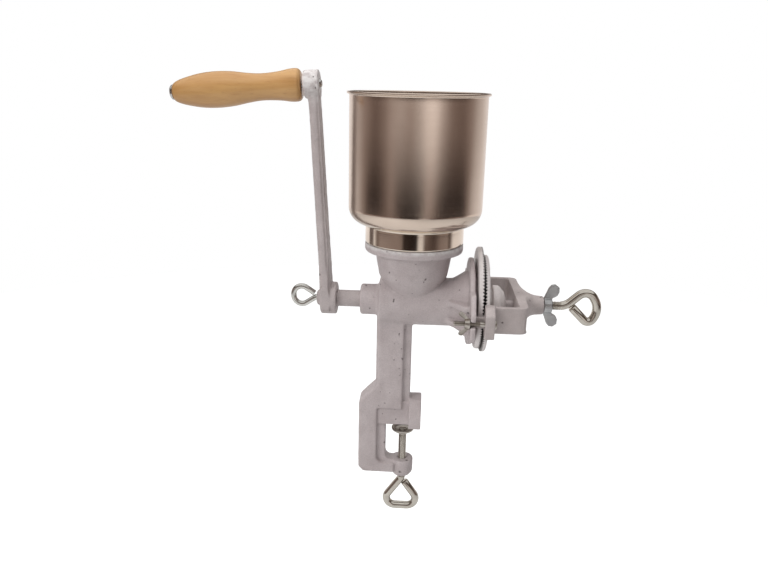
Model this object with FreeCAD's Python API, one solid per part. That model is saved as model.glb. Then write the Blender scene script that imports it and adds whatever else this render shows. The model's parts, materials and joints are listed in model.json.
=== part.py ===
import FreeCAD, Part
import math
import os

# Hand mill with a crank, a tall feed hopper, two grinding burrs and a table clamp.
# All sizes in millimetres. X runs along the shaft towards the burrs, Z is up.
# The origin lies on the clamp screw line, in the underside of the table jaw.

V = FreeCAD.Vector

# Fits
RUN_FIT = 0.06        # radial clearance of a shaft in its bearing
THREAD_FIT = 0.08     # radial clearance of a screw in its tapped hole
LOOSE_FIT = 0.3       # radial clearance of a bolt, a spigot or a pin that drops in
SEAT_GAP = 0.15       # axial clearance beside a piece that turns against a face

# Flat sides of turned shapes
BIG_SIDES = 36
SMALL_SIDES = 20
PIN_SIDES = 12

# Main lines
AXIS_Z = 145.0        # shaft line above the jaw underside
THROAT_X = 6.0        # hopper line from the clamp screw line

# Hopper, drawn from sheet
SHEET = 1.0
WALL_R = 69.5
WALL_H = 112.0
SHOULDER_R = 17.0
NECK_R = 51.7
NECK_H = 20.0
SPIGOT_R = 48.2
SPIGOT_H = 7.0
BEAD_R = 2.2
RIM_OUT = 3.0         # rolled rim beyond the wall

# Throat and barrel casting
LIP_R = 52.0
LIP_H = 8.5
LIP_RISE = 66.0       # lip top above the shaft line
THROAT_TOP_R = 40.5
THROAT_LOW_R = 36.5
THROAT_WALL = 6.0
BARREL_R = 26.0
BORE_R = 21.5
BARREL_X0 = -31.0
END_WALL = 7.0
BOSS_R = 16.7
BOSS_L = 19.0
FLANGE_X = 65.0
FLANGE_T = 5.4
FLANGE_R = 47.0
FLANGE_LIFT = 2.0     # flange disc above the shaft line
REGISTER_T = 3.0      # raised ring that carries the fixed burr
REGISTER_R = 36.0
DOWEL_R = 2.0
DOWEL_RING = 30.5

# Ears and yoke bolts
BOLT_R = 2.6
BOLT_LAND = 3.2       # metal between a yoke arm and its bolt hole
BOLT_DROP = 2.0       # bolt line below the shaft line
EAR_LIP = 3.5         # ear beyond its bolt slot
NUT_TURN = 28.0       # degrees, the yoke wing nuts stand aslant
EAR_UP = 25.0
EAR_SLOPE = 15.0      # slanted upper edge of the ear, measured inwards
EAR_DOWN = 23.0
LOBE_R = 8.5
LOBE_T = 5.5
RIB_UP = 6.5          # ribs behind the ears, from the shaft line
RIB_DOWN = 14.5

# Burrs
BURR_T = 4.8
FIXED_R = 55.0
FIXED_LIFT = 6.0      # the fixed burr hangs a little high on its dowels
FIXED_BORE_R = 25.5
TURN_R = 52.3
TURN_T = 4.2
FACE_GAP = 2.8        # between the two flat burr faces as shown
TOOTH_H = 1.0
RIM_TEETH = 36
CORE_TEETH = 12
TEETH_IN_R = 29.0
TEETH_MID_R = 41.0
DOME_R = 20.0
DOME_L = 20.8
GROOVE_L = 6.4        # groove between the burr plate and its dome
GROOVE_DEEP = 5.0

# Shaft and auger
SHAFT_R = 9.0
PINTLE_R = 4.0
PINTLE_L = 10.0       # pintle beyond the dome
FLIGHT_GAP = 0.6
FLIGHT_PITCH = 30.0
FLIGHT_T = 6.0
FLIGHT_TURNS = 2.5
FLIGHT_STEPS = 12     # flat steps in one turn of the flight
TANG = 13.0           # square end for the crank
DRIVE_PIN_R = 2.5

# Yoke
YOKE_GAP = 1.3        # yoke arm outside the turning burr
ARM_T = 4.6
ARM_H = 28.0
FOOT_T = 9.8
FOOT_UP = 15.5
FOOT_DOWN = 17.0
BAR_T = 9.0
YOKE_L = 44.0         # foot face to the outside of the bar
YOKE_BOSS_R = 10.6
YOKE_BOSS_L = 23.3
FLARE_Y = 25.0        # where the flare from the arms meets the boss
FLARE_L = 6.0
FLARE_R = 30.0
END_HOLLOW_R = 30.0   # hollow outer end of the arms
END_HOLLOW = 3.0
END_LAND = 12.0
TONGUE_T = 3.6        # stop tongue between yoke foot and ear
TONGUE_H = 12.0

# Eye screws
ADJUST_R = 4.75
BALL_R = 3.0
CLAMP_R = 4.5
CRANK_SCREW_R = 3.1
ROD_SIDES = 12        # sides of the bent eyes
ADJUST_OUT = 25.7     # first bend beyond the yoke
ADJUST_EYE_L = 31.5
ADJUST_EYE_UP = 21.5
ADJUST_EYE_DOWN = 24.6
ADJUST_BEND = 9.5
CLAMP_DROP = 7.0      # first bend below the clamp boss
CLAMP_EYE_DROP = 43.3
CLAMP_EYE_HALF = 24.0
CLAMP_BEND = 8.5
CRANK_EYE_L = 24.0
CRANK_EYE_UP = 17.5
CRANK_EYE_DOWN = 15.0
CRANK_BEND = 8.5

# Crank and handle
HUB_R = 17.6
HUB_X = -75.7         # inner face of the hub
COLLAR_T = 9.3
ARM_BAR = 11.0
THROW = 224.0
LEAN = 3.3            # degrees, the arm leans outwards
DROOP = 1.1           # degrees, the handle droops from a right angle to the arm
TOP_BOSS_R = 14.0
TOP_BOSS_L = 16.0
GRIP_L = 131.5
GRIP_R = 18.0         # belly of the grip
GRIP_GAP = 2.5
PIN_R = 3.0
PIN_HEAD_R = 7.2

# Clamp frame
JAW_T = 28.0
JAW_NECK_HALF = 10.0
JAW_HALF = 20.0       # cross bar at the free end of the jaw
JAW_BAR_X = 6.5
JAW_END = 20.0
JAW_BAR_T = 32.0
JAW_CREST_HALF = 11.0
JAW_SIDE_T = 13.0
RIB_HALF = 13.0
WEB_HALF = 8.0
SPINE_X = -50.0
SPINE_IN = -29.6
SHOULDER_TOP = 49.0    # slope between the post and the clamp spine
SHOULDER_LOW = 28.0
WEB_IN = -19.5
POST_RIB_X = -1.5
POST_WEB_X = 7.0
ARM_TOP = -46.0       # top of the lower clamp boss
FRAME_LOW = -60.0
CLAMP_BOSS_R = 12.7
CLAMP_BOSS_L = 21.0
PAD_R = 13.0
PAD_H = 6.0
PAD_DROP = 7.5        # pad rim below the jaw as shown
PAD_FLOOR = 3.4

# Values that follow from those above
LIP_Z = AXIS_Z + LIP_RISE
NECK_Z = LIP_Z + NECK_H
RIM_Z = NECK_Z + SHOULDER_R + SHEET + WALL_H
RIM_R = WALL_R + RIM_OUT
FLANGE_FACE = FLANGE_X + FLANGE_T
FIXED_X = FLANGE_FACE + REGISTER_T
FIXED_FACE = FIXED_X + BURR_T
TURN_X = FIXED_FACE + FACE_GAP
TURN_BACK = TURN_X + TURN_T
DOME_X = TURN_BACK + DOME_L
PINTLE_X = DOME_X + PINTLE_L
FOOT_X = FIXED_FACE + TOOTH_H + LOOSE_FIT
FOOT_BACK = FOOT_X + FOOT_T
ARM_IN = TURN_R + YOKE_GAP
ARM_OUT = ARM_IN + ARM_T
BOLT_Y = ARM_OUT + BOLT_LAND + BOLT_R
EAR_OUT = BOLT_Y + BOLT_R + EAR_LIP
BAR_OUT = FOOT_X + YOKE_L
BAR_IN = BAR_OUT - BAR_T
YOKE_END = BAR_OUT + YOKE_BOSS_L
BALL_HALF = BALL_R * math.cos(math.radians(10.0))
SCREW_TIP = PINTLE_X + 2.0 * BALL_HALF
BOLT_Z = AXIS_Z - BOLT_DROP
HUB_MID = HUB_X - COLLAR_T - 1.6
HUB_OUT = HUB_X - COLLAR_T - 9.0
PAD_RIM = -PAD_DROP
PAD_LOW = PAD_RIM - PAD_H


def at(plane, u, v, w=0.0):
    """Point with plane coordinates u, v and offset w across the plane."""
    if plane == "XZ":
        return V(u, w, v)
    if plane == "XY":
        return V(u, v, w)
    return V(w, u, v)


def chords(start, centre, end):
    """Points of a corner drawn with short chords, more of them on a large radius."""
    r = (start - centre).Length
    a = start - centre
    b = end - centre
    turn = a.getAngle(b)
    count = 1 if r < 2.6 else 2 if r < 7.0 else 3 if turn < 1.7 else 5
    pts = []
    for k in range(count + 1):
        f = turn * k / count
        pts.append(centre + (a * math.sin(turn - f) + b * math.sin(f)) * (1.0 / math.sin(turn)))
    return pts


def rounded_edges(points, plane, w=0.0, closed=True):
    """Edges of a polygon whose corners may carry a radius as third value, drawn with short chords."""
    pts = [at(plane, p[0], p[1], w) for p in points]
    rad = [p[2] if len(p) > 2 else 0.0 for p in points]
    n = len(pts)
    ends = []
    for i in range(n):
        p = pts[i]
        if rad[i] <= 0.0 or (not closed and i in (0, n - 1)):
            ends.append((p, None, p))
            continue
        a = (pts[i - 1] - p).normalize()
        b = (pts[(i + 1) % n] - p).normalize()
        half = a.getAngle(b) / 2.0
        cut = rad[i] / math.tan(half)
        mid = (a + b).normalize()
        ends.append((p + a * cut, p + mid * (rad[i] / math.sin(half)), p + b * cut))
    edges = []
    for i in range(n):
        start, centre, end = ends[i]
        if centre is not None:
            row = chords(start, centre, end)
            edges += [Part.makeLine(row[k], row[k + 1]) for k in range(len(row) - 1)]
        if i == n - 1 and not closed:
            break
        nxt = ends[(i + 1) % n][0]
        if (nxt - end).Length > 1e-6:
            edges.append(Part.makeLine(end, nxt))
    return edges


def face(points, plane, w=0.0):
    return Part.Face(Part.Wire(rounded_edges(points, plane, w)))


def slab(points, plane, w0, w1):
    """Prism on a rounded polygon between two offsets across its plane."""
    return face(points, plane, w0).extrude(at(plane, 0, 0, w1 - w0))


def turned_z(points, x=0.0):
    """Solid of revolution about a vertical line; points are (radius, z)."""
    prof = face([(p[0] + x, p[1]) + tuple(p[2:]) for p in points], "XZ")
    return prof.revolve(V(x, 0, 0), V(0, 0, 1), 360)


def ring_solid(rings):
    """Solid with flat sides between rings of equal corner count, closed at both ends."""
    sides = len(rings[0])
    faces = []
    for near, far in zip(rings, rings[1:]):
        for k in range(sides):
            n = (k + 1) % sides
            corners = [near[k], near[n], far[n], far[k], near[k]]
            faces.append(Part.Face(Part.makePolygon(corners)))
    for ring in (rings[0], rings[-1]):
        faces.append(Part.Face(Part.makePolygon(ring + ring[:1])))
    solid = Part.Solid(Part.Shell(faces))
    if solid.Volume < 0:
        solid.reverse()
    return solid


def flat_sided_x(points, sides, y=0.0, z=AXIS_Z):
    """Turned shape with flat sides about a line along X; points are (x, radius)."""
    turns = [2.0 * math.pi * (k + 0.5) / sides for k in range(sides)]
    return ring_solid(
        [[V(x, y + r * math.cos(a), z + r * math.sin(a)) for a in turns] for x, r in points])


def flat_sided_up(points, sides, x=0.0):
    """Turned shape with flat sides about a vertical line; points are (radius, z)."""
    turns = [2.0 * math.pi * (k + 0.5) / sides for k in range(sides)]
    return ring_solid(
        [[V(x + r * math.cos(a), r * math.sin(a), z) for a in turns] for r, z in points])


def flat_sided_z(points, sides, x=0.0):
    """Hollow turned shape with flat sides about a vertical line; points are (radius, z)."""
    corners = []
    for k in range(sides):
        a = 2.0 * math.pi * (k + 0.5) / sides
        corners.append([V(x + r * math.cos(a), r * math.sin(a), z) for r, z in points])
    faces = []
    n = len(points)
    for k in range(sides):
        one = corners[k]
        two = corners[(k + 1) % sides]
        for i in range(n):
            j = (i + 1) % n
            faces.append(Part.Face(Part.makePolygon([one[i], one[j], two[j], two[i], one[i]])))
    solid = Part.Solid(Part.Shell(faces))
    if solid.Volume < 0:
        solid.reverse()
    return solid


def corner_points(points):
    """Points of a closed outline with its rounded corners drawn as chords."""
    edges = rounded_edges(points, "XZ")
    return [(e.Vertexes[0].Point.x, e.Vertexes[0].Point.z) for e in edges]


def rod_x(r, x0, x1, y=0.0, z=AXIS_Z):
    return Part.makeCylinder(r, x1 - x0, V(x0, y, z), V(1, 0, 0))


def rod_z(r, z0, z1, x=0.0):
    return Part.makeCylinder(r, z1 - z0, V(x, 0, z0), V(0, 0, 1))


def bent_rod(points, r, z, shank):
    """Rod with a bent eye: a round shank, then a many-sided bar along a bent path."""
    path = [(p[0], p[1] + z) + tuple(p[2:]) for p in points]
    edges = rounded_edges(path, "XZ", closed=False)
    start = at("XZ", path[0][0], path[0][1])
    way = (at("XZ", path[1][0], path[1][1]) - start).normalize()
    joint = start + way * shank
    edges[0] = Part.makeLine(joint, edges[0].Vertexes[1].Point)
    across = V(0, 1, 0)
    up = way.cross(across)
    outer = r / math.cos(math.pi / ROD_SIDES)
    ring = []
    for k in range(ROD_SIDES + 1):
        a = 2.0 * math.pi * (k + 0.5) / ROD_SIDES
        ring.append(joint + across * (outer * math.cos(a)) + up * (outer * math.sin(a)))
    eye = Part.Wire(edges).makePipeShell([Part.makePolygon(ring)], True, False, 1)
    return eye.fuse(Part.makeCylinder(r, shank, start, way))


def wing_pair(points, t, y, z):
    """Two flat wings, the drawn one above the screw line and its mirror."""
    upper = slab([(p[0], p[1] + z) + tuple(p[2:]) for p in points], "XZ", y - t / 2, y + t / 2)
    return upper.fuse(upper.mirror(V(0, y, z), V(0, 0, 1)))


def hopper():
    s = SHEET
    top = RIM_Z
    low = LIP_Z - SPIGOT_H
    prof = [
        (SPIGOT_R, low),
        (SPIGOT_R, LIP_Z),
        (NECK_R, LIP_Z),
        (NECK_R, NECK_Z),
        (WALL_R, NECK_Z, SHOULDER_R),
        (WALL_R, top - BEAD_R),
        (RIM_R - BEAD_R * 0.6, top - BEAD_R),
        (RIM_R, top - BEAD_R * 0.3),
        (RIM_R, top + BEAD_R * 0.3),
        (RIM_R - BEAD_R * 0.8, top + BEAD_R),
        (WALL_R, top + BEAD_R),
        (WALL_R - s, top),
        (WALL_R - s, NECK_Z + s, SHOULDER_R - s),
        (NECK_R - s, NECK_Z + s),
        (NECK_R - s, LIP_Z + s),
        (SPIGOT_R - s, LIP_Z + s),
        (SPIGOT_R - s, low),
    ]
    return flat_sided_z(corner_points(prof), BIG_SIDES, THROAT_X)


def throat_outside():
    prof = [
        (14.0, AXIS_Z - 4.0),
        (THROAT_LOW_R, AXIS_Z + BARREL_R + 4.0),
        (THROAT_TOP_R, LIP_Z - LIP_H - 4.0),
        (LIP_R, LIP_Z - LIP_H),
        (LIP_R, LIP_Z),
    ]
    return flat_sided_up(prof, BIG_SIDES, THROAT_X)


def throat_inside():
    seat = SPIGOT_R + LOOSE_FIT
    funnel = flat_sided_up(
        [(12.0, AXIS_Z), (THROAT_LOW_R - THROAT_WALL, AXIS_Z + BARREL_R + 5.0),
         (THROAT_LOW_R - THROAT_WALL, LIP_Z - LIP_H - 3.0), (seat - 3.5, LIP_Z - SPIGOT_H - 0.9)],
        BIG_SIDES, THROAT_X)
    ring = flat_sided_up(
        [(seat, LIP_Z - SPIGOT_H - 1.0), (seat, LIP_Z - 1.0), (seat + 2.0, LIP_Z + 1.0)],
        BIG_SIDES, THROAT_X)
    return funnel.fuse(ring)


def barrel_outside():
    barrel = flat_sided_x([
        (BARREL_X0 - BOSS_L, BOSS_R - 1.6),
        (BARREL_X0 - BOSS_L + 1.6, BOSS_R),
        (BARREL_X0, BOSS_R),
        (BARREL_X0 + 2.5, BARREL_R),
        (FLANGE_X - 16.0, BARREL_R),
        (FLANGE_X, REGISTER_R),
        (FIXED_X, REGISTER_R),
    ], BIG_SIDES)
    flange = flat_sided_x(
        [(FLANGE_X, FLANGE_R), (FLANGE_FACE, FLANGE_R)], BIG_SIDES, 0.0, AXIS_Z + FLANGE_LIFT)
    return barrel.fuse(flange)


def ear(side):
    """Ear with a slanted upper edge, a thick lobe at its foot and two ribs behind it."""
    y0 = FLANGE_R - 9.0
    plate = slab(
        [(side * y0, AXIS_Z - EAR_DOWN), (side * (EAR_OUT - 4.0), AXIS_Z - EAR_DOWN, 5.0),
         (side * EAR_OUT, BOLT_Z - 8.0, 4.0), (side * EAR_OUT, BOLT_Z + 9.0, 4.0),
         (side * (EAR_OUT - EAR_SLOPE), AXIS_Z + EAR_UP, 5.0), (side * y0, AXIS_Z + EAR_UP)],
        "YZ", FLANGE_X, FLANGE_FACE)
    lobe = flat_sided_x(
        [(FLANGE_X - LOBE_T, LOBE_R), (FLANGE_FACE, LOBE_R)], PIN_SIDES, side * (FLANGE_R - 4.0),
        AXIS_Z - EAR_DOWN + LOBE_R)
    plate = plate.fuse(lobe)
    for z in (AXIS_Z - RIB_DOWN, AXIS_Z + RIB_UP):
        rib = slab(
            [(FLANGE_X - 30.0, side * (BARREL_R - 12.0)), (FLANGE_X + 1.0, side * (BARREL_R - 12.0)),
             (FLANGE_X + 1.0, side * (FLANGE_R + 2.0)), (FLANGE_X - 4.0, side * (FLANGE_R + 2.0), 3.0)],
            "XY", z - 3.0, z + 3.0)
        plate = plate.fuse(rib)
    return plate


def ear_slot(side):
    half = BOLT_R + LOOSE_FIT
    end = EAR_OUT + 5.0
    return slab(
        [(side * (BOLT_Y - half), BOLT_Z - half, half * 0.98), (side * end, BOLT_Z - half),
         (side * end, BOLT_Z + half), (side * (BOLT_Y - half), BOLT_Z + half, half * 0.98)],
        "YZ", FLANGE_X - 1.0, FLANGE_FACE + 1.0)


def clamp_frame():
    top = AXIS_Z - 6.0
    rib = slab(
        [(BARREL_X0 + 1.8, top), (SPINE_IN, SHOULDER_TOP, 6.0), (SPINE_X, SHOULDER_LOW, 6.0),
         (SPINE_X, FRAME_LOW + 6.0, 3.0), (SPINE_X + 5.5, FRAME_LOW, 3.0), (-9.0, FRAME_LOW),
         (-9.0, ARM_TOP - 3.0), (SPINE_IN, ARM_TOP - 3.0, 9.0), (SPINE_IN, JAW_T - 8.0),
         (POST_RIB_X, JAW_T - 8.0), (POST_RIB_X, top)],
        "XZ", -RIB_HALF, RIB_HALF)
    web = slab(
        [(SPINE_IN - 2.0, top), (SPINE_IN - 2.0, FRAME_LOW + 3.0), (0.0, FRAME_LOW + 3.0),
         (0.0, ARM_TOP), (WEB_IN, ARM_TOP, 7.0), (WEB_IN, JAW_T / 2), (POST_WEB_X, JAW_T / 2),
         (POST_WEB_X, top)],
        "XZ", -WEB_HALF, WEB_HALF)
    jaw = Part.makeBox(
        JAW_BAR_X - SPINE_IN, 2.0 * JAW_NECK_HALF, JAW_T, V(SPINE_IN + 1.5, -JAW_NECK_HALF, 0.0))
    bar = slab(
        [(-JAW_HALF, 0.0), (JAW_HALF, 0.0), (JAW_HALF, JAW_SIDE_T, 3.0), (JAW_CREST_HALF, JAW_BAR_T, 3.0),
         (-JAW_CREST_HALF, JAW_BAR_T, 3.0), (-JAW_HALF, JAW_SIDE_T, 3.0)],
        "YZ", JAW_BAR_X, JAW_END)
    low = flat_sided_up(
        [(CLAMP_BOSS_R - 3.5, ARM_TOP - CLAMP_BOSS_L), (CLAMP_BOSS_R, ARM_TOP - CLAMP_BOSS_L + 5.0),
         (CLAMP_BOSS_R, ARM_TOP)], SMALL_SIDES)
    return rib.fuse([web, jaw, bar, low])


def mill_body():
    body = throat_outside().fuse([barrel_outside(), clamp_frame(), ear(-1), ear(1)])
    holes = [
        throat_inside(),
        rod_x(BORE_R, BARREL_X0 + END_WALL, FIXED_X + 1.0),
        rod_x(SHAFT_R + RUN_FIT, BARREL_X0 - BOSS_L - 1.0, BARREL_X0 + END_WALL + 1.0),
        rod_z(CLAMP_R + THREAD_FIT, ARM_TOP - CLAMP_BOSS_L - 1.0, ARM_TOP + 1.0),
        ear_slot(-1),
        ear_slot(1),
    ]
    holes += [dowel_rod(k, LOOSE_FIT / 10.0) for k in range(3)]
    return body.cut(holes).removeSplitter()


def dowel_rod(k, grow=0.0):
    a = math.radians(90.0 + 120.0 * k)
    y = DOWEL_RING * math.cos(a)
    z = AXIS_Z + DOWEL_RING * math.sin(a)
    return flat_sided_x(
        [(FLANGE_X + 1.0 - grow, DOWEL_R + grow), (FIXED_FACE - 1.8 + grow, DOWEL_R + grow)], PIN_SIDES, y, z)


def radial_grooves(count, r0, r1, depth, x, way, z):
    """V grooves with parallel flanks that run outwards across one burr face."""
    half = math.pi * r0 / count * 0.92
    over = 0.5
    wide = half * (depth + over) / depth
    tip = V(x + way * depth, 0, r0)
    left = V(x - way * over, -wide, r0)
    right = V(x - way * over, wide, r0)
    one = Part.Face(Part.makePolygon([tip, left, right, tip])).extrude(V(0, 0, r1 - r0))
    cuts = []
    for i in range(count):
        groove = one.copy()
        groove.rotate(V(0, 0, 0), V(1, 0, 0), 360.0 * i / count)
        groove.translate(V(0, 0, z))
        cuts.append(groove)
    return cuts


def stationary_burr():
    z = AXIS_Z + FIXED_LIFT
    tip = FIXED_FACE + TOOTH_H
    plate = flat_sided_x([(FIXED_X, FIXED_R), (tip, FIXED_R)], RIM_TEETH, 0.0, z)
    plate = plate.cut(radial_grooves(RIM_TEETH, TEETH_MID_R, FIXED_R + 2.0, TOOTH_H, tip, -1, z))
    plate = plate.cut(radial_grooves(CORE_TEETH, TEETH_IN_R, TEETH_MID_R - 1.0, TOOTH_H * 1.6, tip, -1, z))
    eye = rod_x(FIXED_BORE_R, FIXED_X - 1.0, tip + 1.0)
    sockets = [dowel_rod(k, LOOSE_FIT / 10.0) for k in range(3)]
    return plate.cut([eye] + sockets)


def rotating_burr():
    tip = TURN_X - TOOTH_H
    plate = flat_sided_x([(tip, TURN_R), (TURN_BACK, TURN_R)], RIM_TEETH)
    dome = flat_sided_x(
        [(TURN_BACK - 1.0, DOME_R - GROOVE_DEEP), (TURN_BACK + GROOVE_L, DOME_R - GROOVE_DEEP),
         (TURN_BACK + GROOVE_L, DOME_R), (TURN_BACK + DOME_L * 0.55, DOME_R),
         (TURN_BACK + DOME_L * 0.82, DOME_R - 5.5), (DOME_X, 7.0)], SMALL_SIDES)
    plate = plate.fuse(dome)
    plate = plate.cut(radial_grooves(RIM_TEETH, TEETH_MID_R, TURN_R + 2.0, TOOTH_H, tip, 1, AXIS_Z))
    plate = plate.cut(radial_grooves(CORE_TEETH, TEETH_IN_R, TEETH_MID_R - 1.0, TOOTH_H * 1.6, tip, 1, AXIS_Z))
    fit = RUN_FIT / 2.0
    bore = rod_x(SHAFT_R + fit, tip - 1.0, DOME_X - 6.0 + fit)
    nose = rod_x(PINTLE_R + fit, DOME_X - 7.0, DOME_X + 1.0)
    return plate.cut([bore, nose, drive_rod(fit)])


def drive_rod(grow=0.0):
    half = DOME_R - 1.6
    x = TURN_BACK + GROOVE_L + DRIVE_PIN_R + 1.0
    r = DRIVE_PIN_R + grow
    turns = [2.0 * math.pi * k / PIN_SIDES for k in range(PIN_SIDES)]
    return ring_solid(
        [[V(x + r * math.cos(a), y, AXIS_Z + r * math.sin(a)) for a in turns] for y in (-half, half)])


def screw_flight(flight_r, x0):
    """Left-hand screw of the auger, built from small flat triangles."""
    steps = int(round(FLIGHT_STEPS * FLIGHT_TURNS))
    t = FLIGHT_T / 2.0
    cross = [
        (SHAFT_R - 1.5, -t * 1.1), (flight_r, -t * 0.5), (flight_r, t * 0.5), (SHAFT_R - 1.5, t * 1.1)]
    rows = []
    for i in range(steps + 1):
        a = -2.0 * math.pi * i / FLIGHT_STEPS
        x = x0 + FLIGHT_PITCH * i / FLIGHT_STEPS
        rows.append([V(x + w, r * math.cos(a), AXIS_Z + r * math.sin(a)) for r, w in cross])
    faces = []
    for one, two in zip(rows, rows[1:]):
        for k in range(4):
            n = (k + 1) % 4
            for corner in ((one[k], one[n], two[k]), (one[n], two[n], two[k])):
                faces.append(Part.Face(Part.makePolygon(list(corner) + [corner[0]])))
    for row in (rows[0], rows[-1]):
        faces.append(Part.Face(Part.makePolygon(row + row[:1])))
    solid = Part.Solid(Part.Shell(faces))
    if solid.Volume < 0:
        solid.reverse()
    return solid


def auger():
    flight_r = BORE_R - FLIGHT_GAP
    inner = BARREL_X0 + END_WALL + 2.0
    shaft = rod_x(SHAFT_R, HUB_X - COLLAR_T, inner).fuse([
        rod_x(SHAFT_R, FIXED_X - 1.0, DOME_X - 6.0), rod_x(PINTLE_R, DOME_X - 7.0, PINTLE_X)])
    flight = screw_flight(flight_r, FIXED_X - 4.0 - FLIGHT_PITCH * FLIGHT_TURNS)
    core = flat_sided_x([(BARREL_X0 + END_WALL + 1.0, SHAFT_R), (FIXED_X, SHAFT_R)], PIN_SIDES)
    body = shaft.fuse([core, flight])
    hole = rod_x(CRANK_SCREW_R + THREAD_FIT, HUB_X - COLLAR_T - 1.0, HUB_X + 14.0)
    return body.cut([tang_waste(), drive_rod(RUN_FIT / 2.0), hole]).removeSplitter()


def tang_waste():
    """Ring outside the square crank end of the shaft."""
    x0 = HUB_X - COLLAR_T - 1.0
    ring = rod_x(SHAFT_R + 1.0, x0, HUB_X)
    h = TANG / 2.0
    core = Part.makeBox(COLLAR_T + 3.0, TANG, TANG, V(x0 - 1.0, -h, AXIS_Z - h))
    return ring.cut(core)


def drive_pin():
    return drive_rod()


def lean(shape):
    """Tip a shape drawn on an upright arm outwards to the lean of the arm."""
    out = shape.copy()
    out.rotate(V(HUB_MID, 0, AXIS_Z), V(0, 1, 0), -LEAN)
    return out


def droop(shape):
    """Tip a shape on the handle line to the droop of the handle, then to the lean of the arm."""
    out = shape.copy()
    out.rotate(V(HUB_MID, 0, AXIS_Z + THROW), V(0, 1, 0), -DROOP)
    return lean(out)


def crank_arm():
    top = AXIS_Z + THROW
    half = ARM_BAR / 2.0
    hub = flat_sided_x(
        [(HUB_OUT - 4.0, 5.5), (HUB_OUT, HUB_R - 3.5), (HUB_OUT + 2.0, HUB_R), (HUB_X, HUB_R)], SMALL_SIDES)
    bar = slab(
        [(-12.5, AXIS_Z), (-8.0, top - 8.0), (8.0, top - 8.0), (12.5, AXIS_Z)],
        "YZ", HUB_MID - half, HUB_MID + half)
    rail = slab(
        [(-14.5, AXIS_Z), (-9.5, top - 8.0), (9.5, top - 8.0), (14.5, AXIS_Z)],
        "YZ", HUB_MID - half + 3.0, HUB_MID + half - 3.0)
    x0 = HUB_MID + 6.0 - TOP_BOSS_L
    boss = flat_sided_x(
        [(x0, TOP_BOSS_R - 1.5), (x0 + 1.5, TOP_BOSS_R), (x0 + TOP_BOSS_L, TOP_BOSS_R)],
        SMALL_SIDES, 0.0, top)
    neck = slab(
        [(x0 + 2.0, top), (HUB_MID - half, top - 18.0), (HUB_MID + half, top - 18.0), (HUB_MID + half, top)],
        "XZ", -8.5, 8.5)
    body = hub.fuse([lean(bar), lean(rail), droop(boss), lean(neck)])
    fit = RUN_FIT / 2.0
    h = TANG / 2.0 + fit
    depth = COLLAR_T + fit
    socket = Part.makeBox(depth + 1.0, 2 * h, 2 * h, V(HUB_X - depth, -h, AXIS_Z - h))
    screw = rod_x(CRANK_SCREW_R + LOOSE_FIT / 2, HUB_OUT - 5.0, HUB_X)
    pin = droop(rod_x(PIN_R + fit, x0 - 5.0, x0 + TOP_BOSS_L + 5.0, 0.0, top))
    return body.cut([socket, screw, pin]).removeSplitter()


def grip_profile():
    """Turned wooden grip from its inner to its outer end, as shares of its length and belly radius."""
    return [
        (0.0, 0.755), (0.02, 0.895), (0.05, 0.922), (0.105, 0.885), (0.19, 0.785), (0.295, 0.745),
        (0.39, 0.79), (0.5, 0.92), (0.608, 1.0), (0.71, 0.998), (0.81, 0.91), (0.9, 0.76),
        (0.965, 0.595), (1.0, 0.422),
    ]


def handle_grip():
    top = AXIS_Z + THROW
    x1 = HUB_MID + 6.0 - TOP_BOSS_L - GRIP_GAP
    wood = flat_sided_x([(x1 - a * GRIP_L, r * GRIP_R) for a, r in grip_profile()], SMALL_SIDES, 0.0, top)
    hole = rod_x(PIN_R + RUN_FIT, x1 - GRIP_L - 1.0, x1 + 1.0, 0.0, top)
    return droop(wood.cut(hole))


def handle_pin():
    top = AXIS_Z + THROW
    x1 = HUB_MID + 6.0 - TOP_BOSS_L
    out = x1 - GRIP_GAP - GRIP_L - SEAT_GAP
    far = HUB_MID + 6.0
    cap = flat_sided_x(
        [(out - 3.6, 4.2), (out - 1.4, PIN_HEAD_R), (out, PIN_HEAD_R)], SMALL_SIDES, 0.0, top)
    rivet = flat_sided_x([(far, 5.0), (far + 1.2, 5.0), (far + 2.8, 3.0)], SMALL_SIDES, 0.0, top)
    return droop(rod_x(PIN_R, out, far, 0.0, top).fuse([cap, rivet]))


def crank_screw():
    x = HUB_OUT - 4.0 - 1.5
    path = [
        (HUB_X + 8.0, 0.0), (x, 0.0, CRANK_SCREW_R), (x - CRANK_EYE_L + 1.5, -CRANK_EYE_DOWN, CRANK_BEND),
        (x - CRANK_EYE_L - 1.5, CRANK_EYE_UP, CRANK_BEND), (x - 2.5, 2.0 * CRANK_SCREW_R + 1.0)]
    return bent_rod(path, CRANK_SCREW_R, AXIS_Z, HUB_X + 8.0 - x - 2.0)


def thrust_ball():
    mid = PINTLE_X + BALL_HALF
    arc = [math.radians(10.0 + 32.0 * k) for k in range(6)]
    return flat_sided_x([(mid - BALL_R * math.cos(a), BALL_R * math.sin(a)) for a in arc], ROD_SIDES)


def adjusting_screw():
    x = YOKE_END + ADJUST_OUT
    far = x + ADJUST_EYE_L
    path = [
        (SCREW_TIP, 0.0), (x, 0.0, 2.5 * ADJUST_R), (far, ADJUST_EYE_UP, ADJUST_BEND),
        (far, -ADJUST_EYE_DOWN, ADJUST_BEND), (x + 1.15 * ADJUST_R, -1.4 * ADJUST_R)]
    return bent_rod(path, ADJUST_R, AXIS_Z, x - SCREW_TIP - 2.0 * ADJUST_R)


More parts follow.
